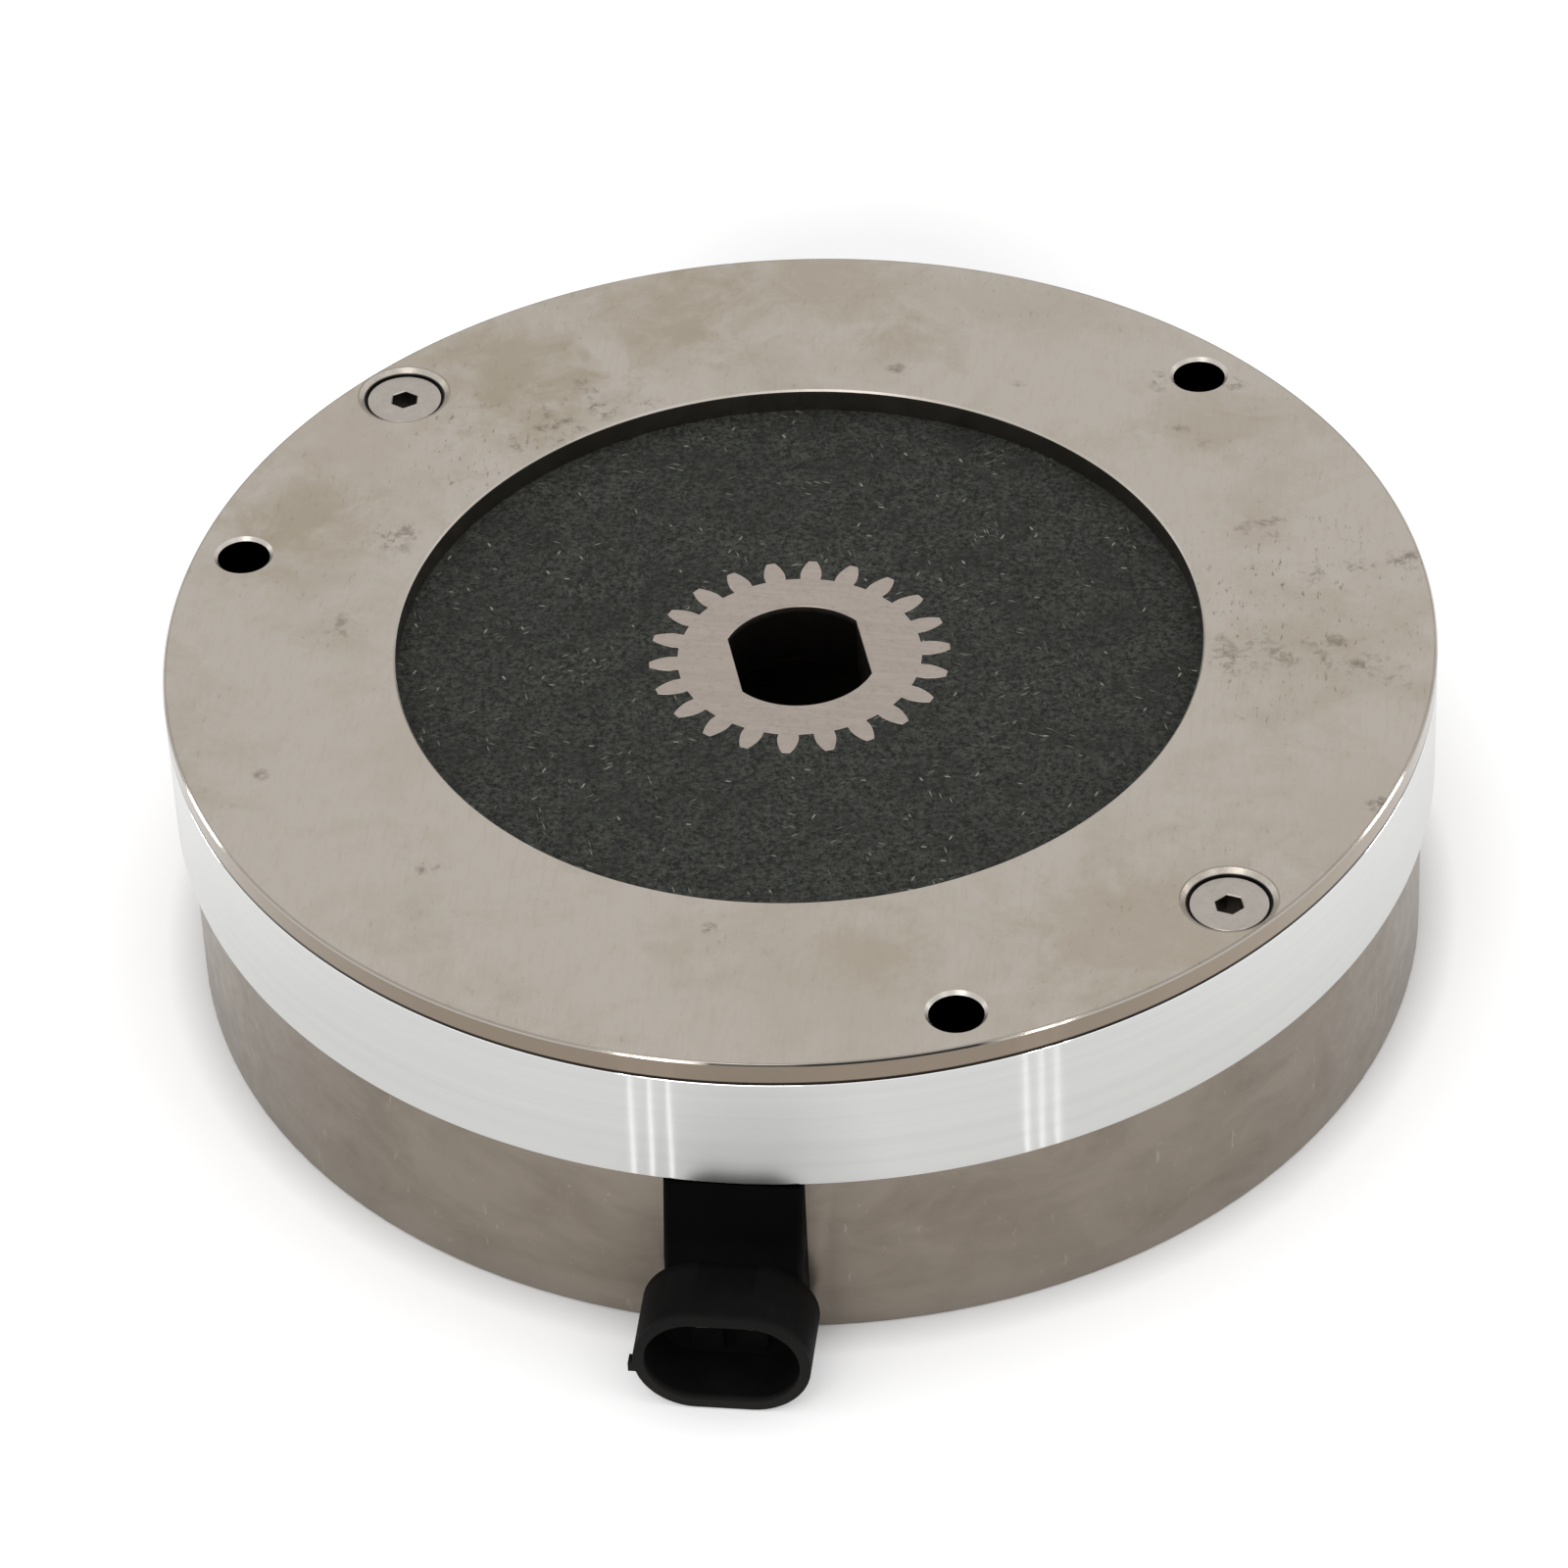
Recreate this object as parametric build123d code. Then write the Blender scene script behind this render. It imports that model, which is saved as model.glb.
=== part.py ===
from build123d import *
import math
import os

# Motor brake that springs apply and a coil releases. Lengths in millimetres, angles in degrees.
# The shaft axis is Z, the back face lies at z = 0 and the connector points along -Y.

# Round outline
outer_diameter = 126.0
magnet_step = 1.25
ring_wall = 10.5
plate_bore = 80.0
rim_chamfer = 0.25

# Heights of the stack; the ring's height follows from what it encloses
magnet_height = 19.8
air_gap = 0.3
armature_thickness = 5.7
lining_thickness = 6.6
face_play = 0.05
plate_thickness = 2.5

# Bolt holes through the rim
hole_inset = 5.0
bolt_hole_diameter = 5.3
bolt_hole_chamfer = 0.35
bolt_count = 3
bolt_angle = 51.2

# Countersunk screws that hold plate, ring and magnet body together
screw_count = 2
screw_angle = 141.2
screw_diameter = 4.0
screw_length = 24.0
screw_head_diameter = 7.65
screw_head_land = 0.15
screw_hole_clearance = 0.2
screw_thread_clearance = 0.02
screw_seat_clearance = 0.03
screw_bottom_room = 1.5
countersink_diameter = 9.25
hex_across_flats = 2.5
hex_depth = 1.6
hex_turns = (33.5, 45.0)

# Magnet body
magnet_bore = 28.0
inner_pole_width = 12.5
outer_pole_width = 9.5
groove_depth = 14.0

# Armature plate and its guide pins
armature_bore = 34.0
armature_rim_clearance = 0.5
guide_pin_count = 3
guide_pin_angle = 90.0
guide_pin_diameter = 4.0
guide_pin_embedded = 6.0
guide_pin_recess = 1.0
guide_pin_fit = 0.01
guide_pin_running_clearance = 0.08

# Brake springs
spring_count = 6
spring_angle = 0.0
spring_diameter = 7.0
spring_wire = 1.2
spring_turns = 3
spring_runs_per_turn = 10
spring_pocket_depth = 8.0
spring_pocket_clearance = 0.3
spring_end_clearance = 0.02

# Rotor: friction lining with the toothed hub moulded in
lining_rim_gap = 2.5
hub_teeth = 22
hub_module = 1.25
hub_dedendum = 1.25
hub_pressure_angle = 20.0
hub_tooth_angle = 9.6
hub_bore = 15.5
hub_bore_flats = 13.0
hub_flats_angle = 16.9
hub_seat_clearance = 0.02

# Coil
coil_clearance = 0.15
winding_clearance = 0.05
potting_thickness = 2.6
potting_top_room = 0.2

# Connector
neck_width = 13.2
neck_offset = 0.35
neck_reach = 2.4
neck_top_reach = 0.05
neck_corner = 0.6
neck_top_room = 0.1
slot_floor = 4.0
slot_clearance = 0.05
wiring_room = 7.5
shroud_length = 7.7
shroud_width = 16.95
shroud_height = 11.7
shroud_wall = 1.05
shroud_lift = 0.1
shroud_edge = 0.1
socket_depth = 6.6
island_width = 7.4
island_height = 7.4
island_rise = 0.8
island_groove = 1.2
island_corner = 1.2
lug_reach = 0.5
lug_height = 1.0
lug_length = 1.3
lug_drop = 1.1
terminal_pitch = 5.0
terminal_width = 1.5
terminal_thickness = 0.8
terminal_recess = 5.0
terminal_tip_chamfer = 0.2
terminal_tail = 3.0
lead_diameter = 0.8
lead_height = 12.0
lead_bend = 1.5
lead_gap = 0.02

# Worked out from the sizes above
outer_radius = outer_diameter / 2
magnet_radius = outer_radius - magnet_step
hole_circle = outer_radius - hole_inset
ring_bore_radius = outer_radius - ring_wall
ring_height = air_gap + armature_thickness + lining_thickness + 2 * face_play
ring_top = magnet_height + ring_height
plate_top = ring_top + plate_thickness
armature_radius = ring_bore_radius - armature_rim_clearance
armature_bottom = magnet_height + air_gap
lining_bottom = armature_bottom + armature_thickness + face_play
lining_radius = ring_bore_radius - lining_rim_gap
groove_inner = magnet_bore / 2 + inner_pole_width
groove_outer = armature_radius - outer_pole_width
groove_floor = magnet_height - groove_depth
pole_circle = (groove_outer + armature_radius) / 2
neck_front = outer_radius + neck_reach
rim_front = neck_front + shroud_length
connector_height = shroud_lift + shroud_height / 2
housing_inner = groove_outer + wiring_room

sit = (Align.CENTER, Align.CENTER, Align.MIN)


def turned(points):
    """Solid turned about Z from (radius, height) points."""
    return revolve(Plane.XZ * make_face(Polyline(*points, close=True)), Axis.Z)


def rod(radius, low, high):
    """Round rod or drill on Z between two heights."""
    return Pos(0, 0, low) * Cylinder(radius, high - low, align=sit)


def cone(low_radius, high_radius, low, high):
    """Cone on Z between two heights."""
    return Pos(0, 0, low) * Cone(low_radius, high_radius, high - low, align=sit)


def bolt_places():
    return PolarLocations(hole_circle, bolt_count, bolt_angle)


def screw_places():
    return PolarLocations(hole_circle, screw_count, screw_angle)


def pin_places():
    return PolarLocations(pole_circle, guide_pin_count, guide_pin_angle)


def spring_places():
    return PolarLocations(pole_circle, spring_count, spring_angle)


def cut_rim_holes(body, low, high, screw_hole_radius):
    """Cut the bolt holes and the screw holes through a piece of the rim."""
    for place in bolt_places():
        body -= place * rod(bolt_hole_diameter / 2, low, high)
    for place in screw_places():
        body -= place * rod(screw_hole_radius, low, high)
    return body


def flange_plate():
    bore = plate_bore / 2
    body = turned(
        [
            (bore, ring_top),
            (outer_radius, ring_top),
            (outer_radius, plate_top - rim_chamfer),
            (outer_radius - rim_chamfer, plate_top),
            (bore, plate_top),
        ]
    )
    body = cut_rim_holes(body, ring_top, plate_top, screw_diameter / 2 + screw_hole_clearance)
    bolt_hole = bolt_hole_diameter / 2
    mouth = cone(bolt_hole, bolt_hole + bolt_hole_chamfer, plate_top - bolt_hole_chamfer, plate_top)
    for place in bolt_places():
        body -= place * mouth
    sink = cone(0, countersink_diameter / 2, plate_top - countersink_diameter / 2, plate_top)
    for place in screw_places():
        body -= place * sink
    return body


def spacer_ring():
    body = rod(outer_radius, magnet_height, ring_top) - rod(ring_bore_radius, magnet_height, ring_top)
    return cut_rim_holes(body, magnet_height, ring_top, screw_diameter / 2 + screw_hole_clearance)


def countersunk_screw(hex_turn):
    """Hex-socket screw on Z with its cone seated in the plate's countersink."""
    head = screw_head_diameter / 2
    shank = screw_diameter / 2
    cone_top = plate_top - (countersink_diameter / 2 - head) + screw_seat_clearance
    top = cone_top + screw_head_land
    tip = top - screw_length
    body = turned(
        [
            (0, tip),
            (shank, tip),
            (shank, cone_top - (head - shank)),
            (head, cone_top),
            (head, top),
            (0, top),
        ]
    )
    corner_radius = hex_across_flats / math.sqrt(3)
    socket = Rot(0, 0, hex_turn) * RegularPolygon(corner_radius, 6)
    return body - Pos(0, 0, top - hex_depth) * extrude(socket, hex_depth)


def magnet_body():
    """Steel pot with the coil groove, spring pockets, pin holes and the connector's slot."""
    bore = magnet_bore / 2
    body = turned(
        [
            (bore, 0),
            (magnet_radius, 0),
            (magnet_radius, magnet_height),
            (groove_outer, magnet_height),
            (groove_outer, groove_floor),
            (groove_inner, groove_floor),
            (groove_inner, magnet_height),
            (bore, magnet_height),
        ]
    )
    for place in bolt_places():
        body -= place * rod(bolt_hole_diameter / 2, 0, magnet_height)
    screw_bottom = plate_top - screw_length - screw_bottom_room
    for place in screw_places():
        body -= place * rod(screw_diameter / 2 + screw_thread_clearance, screw_bottom, magnet_height)
    pocket = rod(spring_diameter / 2 + spring_pocket_clearance, magnet_height - spring_pocket_depth, magnet_height)
    for place in spring_places():
        body -= place * pocket
    pin_hole = rod(guide_pin_diameter / 2 + guide_pin_fit, magnet_height - guide_pin_embedded, magnet_height)
    for place in pin_places():
        body -= place * pin_hole
    slot_depth = magnet_radius - (groove_inner + groove_outer) / 2
    slot = Box(
        neck_width + 2 * slot_clearance,
        slot_depth,
        magnet_height - slot_floor,
        align=(Align.CENTER, Align.MIN, Align.MIN),
    )
    slot = Pos(neck_offset, -magnet_radius, slot_floor) * slot
    slot -= rod(groove_outer - coil_clearance, 0, magnet_height)
    return body - slot


def armature_plate():
    body = turned(
        [
            (armature_bore / 2, armature_bottom),
            (armature_radius, armature_bottom),
            (armature_radius, armature_bottom + armature_thickness),
            (armature_bore / 2, armature_bottom + armature_thickness),
        ]
    )
    pin_hole = rod(
        guide_pin_diameter / 2 + guide_pin_running_clearance,
        armature_bottom,
        armature_bottom + armature_thickness,
    )
    for place in pin_places():
        body -= place * pin_hole
    return body


def guide_pin():
    top = armature_bottom + armature_thickness - guide_pin_recess
    return rod(guide_pin_diameter / 2, magnet_height - guide_pin_embedded, top)


def brake_spring():
    """Coil spring on Z, its turns in straight runs and both ends ground flat."""
    bottom = magnet_height - spring_pocket_depth + spring_end_clearance
    height = armature_bottom - spring_end_clearance - bottom
    mean_radius = (spring_diameter - spring_wire) / 2
    runs = round(spring_turns * spring_runs_per_turn)
    points = []
    for run in range(runs + 1):
        x, y = on_circle(mean_radius, 2 * math.pi * run / spring_runs_per_turn)
        points.append((x, y, height * run / runs))
    path = Polyline(*points)
    section = Plane(origin=path @ 0, z_dir=path % 0) * RegularPolygon(spring_wire / 2, 6)
    coil = sweep(section, path, transition=Transition.RIGHT)
    return Pos(0, 0, bottom) * (coil & Cylinder(spring_diameter, height, align=sit))


def tooth_half_angle(radius, growth):
    """Half the angle that a tooth takes at a radius, in radians, by the involute's formula."""
    pitch_radius = hub_module * hub_teeth / 2
    pressure = math.radians(hub_pressure_angle)
    base_radius = pitch_radius * math.cos(pressure)
    at_pitch = math.pi / (2 * hub_teeth) + math.tan(pressure) - pressure
    slope = math.acos(min(1.0, base_radius / radius))
    return at_pitch - (math.tan(slope) - slope) + growth / radius


def on_circle(radius, angle):
    return (radius * math.cos(angle), radius * math.sin(angle))


def toothed_outline(growth=0.0):
    """Face of the involute toothed form, grown all round by a clearance."""
    pitch_radius = hub_module * hub_teeth / 2
    base_radius = pitch_radius * math.cos(math.radians(hub_pressure_angle))
    tip = pitch_radius + hub_module + growth
    root = pitch_radius - hub_dedendum * hub_module + growth
    step = 2 * math.pi / hub_teeth
    start = max(base_radius, root)
    flank = (start, (start + tip) / 2, tip)
    edges = []
    for tooth in range(hub_teeth):
        middle = math.radians(hub_tooth_angle) + tooth * step
        right = [on_circle(r, middle - tooth_half_angle(r, growth)) for r in flank]
        left = [on_circle(r, middle + tooth_half_angle(r, growth)) for r in flank]
        foot = tooth_half_angle(start, growth)
        right_foot = on_circle(root, middle - foot)
        left_foot = on_circle(root, middle + foot)
        if root < start:
            edges.append(Line(right_foot, right[0]))
            edges.append(Line(left[0], left_foot))
        edges.append(ThreePointArc(*right))
        edges.append(ThreePointArc(right[-1], on_circle(tip, middle), left[-1]))
        edges.append(ThreePointArc(*reversed(left)))
        next_foot = on_circle(root, middle + step - foot)
        edges.append(ThreePointArc(left_foot, on_circle(root, middle + step / 2), next_foot))
    return make_face(Wire(edges))


def toothed_hub():
    body = extrude(toothed_outline(), lining_thickness)
    bore = Circle(hub_bore / 2) & Rectangle(hub_bore_flats, hub_bore)
    bore = Rot(0, 0, hub_flats_angle) * bore
    body -= extrude(bore, lining_thickness)
    return Pos(0, 0, lining_bottom) * body


def friction_lining():
    body = Cylinder(lining_radius, lining_thickness, align=sit)
    body -= extrude(toothed_outline(hub_seat_clearance), lining_thickness)
    return Pos(0, 0, lining_bottom) * body


def winding_top():
    return magnet_height - potting_top_room - potting_thickness - winding_clearance


def coil_winding():
    low = groove_floor + winding_clearance
    outside = rod(groove_outer - coil_clearance, low, winding_top())
    return outside - rod(groove_inner + coil_clearance, low, winding_top())


def coil_potting():
    """Resin ring above the winding, with a tongue over the wiring room."""
    high = magnet_height - potting_top_room
    low = high - potting_thickness
    reach = housing_inner - slot_clearance
    tongue = Box(neck_width, reach, potting_thickness, align=(Align.CENTER, Align.MIN, Align.MIN))
    ring = rod(groove_outer - coil_clearance, low, high) + Pos(neck_offset, -reach, low) * tongue
    return ring - rod(groove_inner + coil_clearance, low, high)


def facing_front(distance):
    """Plane square to the connector, at a distance from the shaft axis, with its y axis up."""
    return Plane(origin=(0, -distance, connector_height), x_dir=(1, 0, 0), z_dir=(0, -1, 0))


def connector_housing():
    """Moulding that fills the slot, leans out below the ring and carries the oval shroud."""
    bottom = slot_floor + slot_clearance
    top = magnet_height - neck_top_room
    profile = Polyline(
        (housing_inner, bottom),
        (neck_front, bottom),
        (neck_front, shroud_lift + shroud_height),
        (outer_radius + neck_top_reach, top),
        (housing_inner, top),
        close=True,
    )
    side = Plane(origin=(neck_offset + neck_width / 2, 0, 0), x_dir=(0, -1, 0), z_dir=(-1, 0, 0))
    block = extrude(side * make_face(profile), neck_width)
    front_edges = block.edges().filter_by(lambda edge: edge.center().Y < -outer_radius)
    block = fillet(front_edges.filter_by(Axis.X, reverse=True), neck_corner)
    shroud = extrude(facing_front(neck_front) * SlotOverall(shroud_width, shroud_height), shroud_length)
    rim_edges = shroud.faces().sort_by(Axis.Y)[0].edges()
    shroud = chamfer(rim_edges, shroud_edge)
    opening = SlotOverall(shroud_width - 2 * shroud_wall, shroud_height - 2 * shroud_wall)
    floor = rim_front - socket_depth
    body = block + shroud - extrude(facing_front(floor) * opening, socket_depth)
    island = RectangleRounded(island_width, island_height, island_corner)
    island -= Pos(0, -island_height / 2) * Rectangle(island_groove, island_height)
    body += extrude(facing_front(floor) * island, island_rise)
    lug_side = shroud_width / 2 + lug_reach
    lug = Box(lug_side, lug_length, lug_height, align=(Align.MIN, Align.MIN, Align.CENTER))
    lug = Pos(-lug_side, -(rim_front - shroud_edge), connector_height - lug_drop) * lug
    body += lug - extrude(facing_front(neck_front) * opening, shroud_length)
    for side in (-1, 1):
        body -= terminal(side)
    return body


def terminal(side):
    """Straight blade from the wiring room into the socket, with a chamfered tip."""
    tip = rim_front - terminal_recess
    tail = housing_inner - terminal_tail
    blade = Box(terminal_width, tip - tail, terminal_thickness, align=(Align.CENTER, Align.MIN, Align.CENTER))
    blade = Pos(side * terminal_pitch / 2, -tip, connector_height) * blade
    tip_edges = blade.faces().sort_by(Axis.Y)[0].edges()
    return chamfer(tip_edges, terminal_tip_chamfer)


def lead_wire(side):
    """Wire from the winding's rim out over the terminal's tail and down onto it."""
    x = side * terminal_pitch / 2
    start = groove_outer - coil_clearance + lead_gap
    turn = housing_inner - terminal_tail / 2
    landing = connector_height + terminal_thickness / 2 + lead_gap
    path = Polyline(
        (x, -start, lead_height),
        (x, lead_bend - turn, lead_height),
        (x, -turn, lead_height - lead_bend),
        (x, -turn, landing),
    )
    section = Plane(origin=path @ 0, z_dir=path % 0) * RegularPolygon(lead_diameter / 2, 6)
    return sweep(section, path, transition=Transition.RIGHT)


def write(name, shape):
    export_step(shape, "parts/" + name + ".step")


def main():
    os.makedirs("parts", exist_ok=True)
    write("flange_plate", flange_plate())
    write("spacer_ring", spacer_ring())
    write("magnet_body", magnet_body())
    write("armature_plate", armature_plate())
    write("toothed_hub", toothed_hub())
    write("friction_lining", friction_lining())
    write("coil_winding", coil_winding())
    write("coil_potting", coil_potting())
    write("connector_housing", connector_housing())
    for number, place in enumerate(screw_places(), 1):
        spot = Pos(place.position)
        write("flange_screw_" + str(number), spot * countersunk_screw(hex_turns[number - 1]))
    for number, place in enumerate(pin_places(), 1):
        write("guide_pin_" + str(number), place * guide_pin())
    for number, place in enumerate(spring_places(), 1):
        write("brake_spring_" + str(number), place * brake_spring())
    for number, side in enumerate((-1, 1), 1):
        write("terminal_" + str(number), terminal(side))
        write("lead_wire_" + str(number), lead_wire(side))


main()
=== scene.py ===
import functools
import math

import bmesh
import bpy
from bpy.props import FloatProperty, FloatVectorProperty, IntProperty, PointerProperty
from mathutils import Matrix, Vector


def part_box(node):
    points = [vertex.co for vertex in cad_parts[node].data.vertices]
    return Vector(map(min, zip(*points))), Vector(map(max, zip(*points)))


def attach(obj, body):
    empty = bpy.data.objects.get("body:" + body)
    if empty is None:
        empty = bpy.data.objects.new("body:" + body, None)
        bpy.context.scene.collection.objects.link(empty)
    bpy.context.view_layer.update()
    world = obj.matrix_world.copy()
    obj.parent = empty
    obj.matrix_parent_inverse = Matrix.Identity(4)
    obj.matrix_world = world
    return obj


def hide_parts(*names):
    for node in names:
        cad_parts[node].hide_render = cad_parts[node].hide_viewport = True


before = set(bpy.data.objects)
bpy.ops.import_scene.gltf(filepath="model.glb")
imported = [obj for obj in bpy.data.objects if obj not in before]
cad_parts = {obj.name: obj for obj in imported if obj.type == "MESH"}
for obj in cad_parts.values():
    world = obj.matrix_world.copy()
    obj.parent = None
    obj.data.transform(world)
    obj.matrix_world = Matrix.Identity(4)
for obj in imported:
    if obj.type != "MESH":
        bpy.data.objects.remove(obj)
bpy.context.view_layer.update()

bl_info = {
    "name": "Motor brake",
    "version": (1, 0, 0),
    "blender": (4, 5, 0),
    "location": "3D view, sidebar, Motor brake",
    "description": "Finishes the packed motor brake with bevelled pieces, materials and a light stage",
    "category": "Object",
}

# The stack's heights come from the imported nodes, in metres
PLATE_LOW, PLATE_HIGH = (corner.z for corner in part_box("flange_plate"))
RING_LOW, RING_HIGH = (corner.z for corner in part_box("spacer_ring"))
OUTER_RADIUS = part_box("flange_plate")[1].x
MAGNET_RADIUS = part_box("magnet_body")[1].x

MILLIMETRE = 0.001
MICRON = 0.000001

# Segments of the large circles, of the holes and of a hex socket, and how far each socket is turned
FINE_STEPS = 288
HOLE_STEPS = 64
HEX_SIDES = 6
HEX_TURNS = (33.5, 45.0)

# Angle between two faces from which their edge is rounded over
SHARP_ANGLE = math.radians(30)

# Camera: place in metres, its axes to the right and upwards, and the sensor's width in millimetres
CAMERA_PLACE = (0.08187, -0.5692, 0.50254)
CAMERA_RIGHT = (0.99268, 0.11506, -0.03686)
CAMERA_UP = (-0.0465, 0.64538, 0.76244)
SENSOR_WIDTH = 36.0

# Lamp in front and the lamps on either side: angle round the brake and rise of both ends, in degrees
LAMP_DISTANCE = 1.1
FRONT_LAMP = ((261.0, 40.0), (261.0, 60.0))
FRONT_LAMP_WIDTH = 0.36
SIDE_LAMPS = {
    "left_lamp": ((159.8, 11.1), (168.5, 16.5)),
    "right_lamp": ((29.5, 15.5), (19.7, 21.2)),
}
SIDE_LAMP_WIDTH = 0.03

# Thin tubes in front: angle round the brake of the low and the high end
TUBE_DISTANCE = 0.67
TUBE_RISES = (40.0, 50.0)
TUBE_WIDTH = 0.006
TUBE_ANGLES = (
    (-115.4, -116.8),
    (-112.0, -113.3),
    (-108.5, -109.6),
    (-44.9, -43.4),
    (-42.1, -40.6),
    (-39.0, -37.7),
)

# Thin strips that lie on the floor and face up: angle of the near and the far end
STRIP_RADII = (0.0815, 0.099)
STRIP_HEIGHT = 0.0004
STRIP_WIDTH = 0.0007
STRIP_ANGLES = (
    (-102.45, -104.85),
    (-100.38, -102.4),
    (-98.17, -100.1),
    (-59.33, -56.56),
    (-57.62, -54.48),
    (-55.75, -52.4),
)

# Patches in the plate's nickel: x, y and reach in metres, share and tone
PLATE_PATCHES = (
    (-0.0190, 0.0535, 0.0115, 0.75, "tan"),
    (-0.0350, 0.0400, 0.0110, 0.75, "tan"),
    (-0.0310, 0.0325, 0.0090, 0.6, "tan"),
    (-0.0480, 0.0275, 0.0110, 0.55, "rosy"),
    (-0.0530, 0.0145, 0.0095, 0.8, "tan"),
    (-0.0040, 0.0600, 0.0085, 0.7, "rosy"),
    (0.0065, 0.0485, 0.0060, 0.6, "tan"),
    (0.0215, 0.0555, 0.0080, 0.5, "rosy"),
    (0.0385, 0.0370, 0.0080, 0.45, "tan"),
    (0.0140, -0.0460, 0.0070, 0.45, "tan"),
    (0.0345, -0.0420, 0.0090, 0.55, "rosy"),
    (0.0440, 0.0205, 0.0045, 0.8, "rosy"),
    (-0.0355, -0.0190, 0.0085, 0.45, "rosy"),
    (-0.0050, -0.0450, 0.0050, 0.5, "rosy"),
    (0.0560, -0.0240, 0.0120, 0.5, "rosy"),
    (0.0430, -0.0430, 0.0170, 0.4, "tan"),
    (0.0120, -0.0520, 0.0200, 0.25, "tan"),
    (0.0520, 0.0000, 0.0120, 0.35, "tan"),
    (-0.0560, 0.0300, 0.0140, 0.35, "rosy"),
    (-0.0080, 0.0590, 0.0130, 0.4, "tan"),
)

# Dark marks on the plate's face: x, y and reach in metres
PLATE_MARKS = (
    (0.0428, -0.0004, 0.0030),
    (0.0460, 0.0006, 0.0034),
    (0.0520, 0.0006, 0.0034),
    (0.0562, -0.0010, 0.0026),
    (0.0590, -0.0024, 0.0022),
    (-0.0290, 0.0320, 0.0022),
    (-0.0268, 0.0305, 0.0026),
    (-0.0240, 0.0355, 0.0024),
    (-0.0195, 0.0370, 0.0020),
    (-0.0262, 0.0378, 0.0022),
    (0.0050, 0.0440, 0.0012),
    (0.0348, 0.0360, 0.0014),
    (0.0380, 0.0335, 0.0010),
    (0.0440, 0.0206, 0.0026),
    (0.0502, 0.0130, 0.0016),
    (0.0545, 0.0150, 0.0022),
    (-0.0420, 0.0125, 0.0030),
    (-0.0455, -0.0020, 0.0022),
    (-0.0315, -0.0370, 0.0014),
    (-0.0035, -0.0440, 0.0008),
    (0.0322, 0.0440, 0.0020),
    (0.0590, 0.0160, 0.0020),
    (0.0585, -0.0218, 0.0016),
    (-0.0300, 0.0345, 0.0020),
    (-0.0325, 0.0290, 0.0016),
    (0.0180, 0.0425, 0.0012),
    (0.0400, 0.0440, 0.0014),
    (0.0430, -0.0020, 0.0024),
    (-0.0500, -0.0250, 0.0014),
)

# Fibres in the lining: turn, shift, and how often they come across and along
LINING_FIBRES = (
    (0.3, 0.0, 330.0, 2100.0),
    (1.2, 3.1, 300.0, 2300.0),
    (2.5, 7.7, 360.0, 2200.0),
)


def length(name, description, default):
    """Length property whose default is written in millimetres."""
    return FloatProperty(
        name=name,
        description=description,
        default=default * MILLIMETRE,
        min=0.0,
        subtype="DISTANCE",
        unit="LENGTH",
        precision=5,
    )


def colour(name, description, default):
    return FloatVectorProperty(
        name=name,
        description=description,
        default=(*default, 1.0),
        size=4,
        min=0.0,
        max=1.0,
        subtype="COLOR",
    )


def strength(name, description, default):
    return FloatProperty(name=name, description=description, default=default, min=0.0, precision=6)


def angle(name, description, default):
    """Angle property whose default is written in degrees."""
    return FloatProperty(
        name=name,
        description=description,
        default=math.radians(default),
        subtype="ANGLE",
        unit="ROTATION",
    )


class BrakeSizes(bpy.types.PropertyGroup):
    """Lengths, counts and angles of the finished pieces"""

    plate_bore: length("Plate bore", "Radius of the flange plate's bore", 40.0)
    ring_bore: length("Ring bore", "Radius of the spacer ring's bore", 52.5)
    hole_circle: length("Hole circle", "Radius on which bolts and screws lie", 58.0)
    bolt_hole: length("Bolt hole", "Radius of a bolt hole", 2.65)
    bolt_mouth: length("Bolt mouth", "Width of the chamfer at a bolt hole's mouth", 0.35)
    screw_hole: length("Screw hole", "Radius of a screw's clearance hole", 2.2)
    countersink: length("Countersink", "Radius of a countersink at the plate's face", 4.625)
    rim_chamfer: length("Rim chamfer", "Chamfer on the plate's upper outer edge", 0.2)
    bore_chamfer: length("Bore chamfer", "Chamfer on the plate's upper bore edge", 0.18)
    edge_break: length("Edge break", "Small chamfer on the ring's edges", 0.12)
    foot_round: length("Foot round", "Rounding of the magnet body's lower edge", 0.35)
    moulding_round: length("Moulding round", "Rounding of the connector's edges", 0.12)
    hub_edge: length("Hub edge", "Small rounding on the toothed hub's upper edges", 0.05)
    screw_radius: length("Screw radius", "Radius of the screw's shank", 2.0)
    screw_head: length("Screw head", "Radius of the screw's head", 3.825)
    screw_land: length("Screw land", "Height of the head's straight rim", 0.15)
    hex_radius: length("Hex radius", "Corner radius of the hex socket", 1.4434)
    hex_depth: length("Hex depth", "Depth of the hex socket", 1.6)
    hex_lead: length("Hex lead", "Chamfer at the hex socket's mouth", 0.12)
    head_edge: length("Head edge", "Chamfer on the screw head's upper edge", 0.06)
    bolt_count: IntProperty(name="Bolt holes", description="Number of bolt holes", default=3, min=1)
    bolt_angle: angle("Bolt angle", "Angle of the first bolt hole", 51.2)
    screw_count: IntProperty(name="Screws", description="Number of countersunk screws", default=2, min=1)
    screw_angle: angle("Screw angle", "Angle of the first screw", 141.2)


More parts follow.
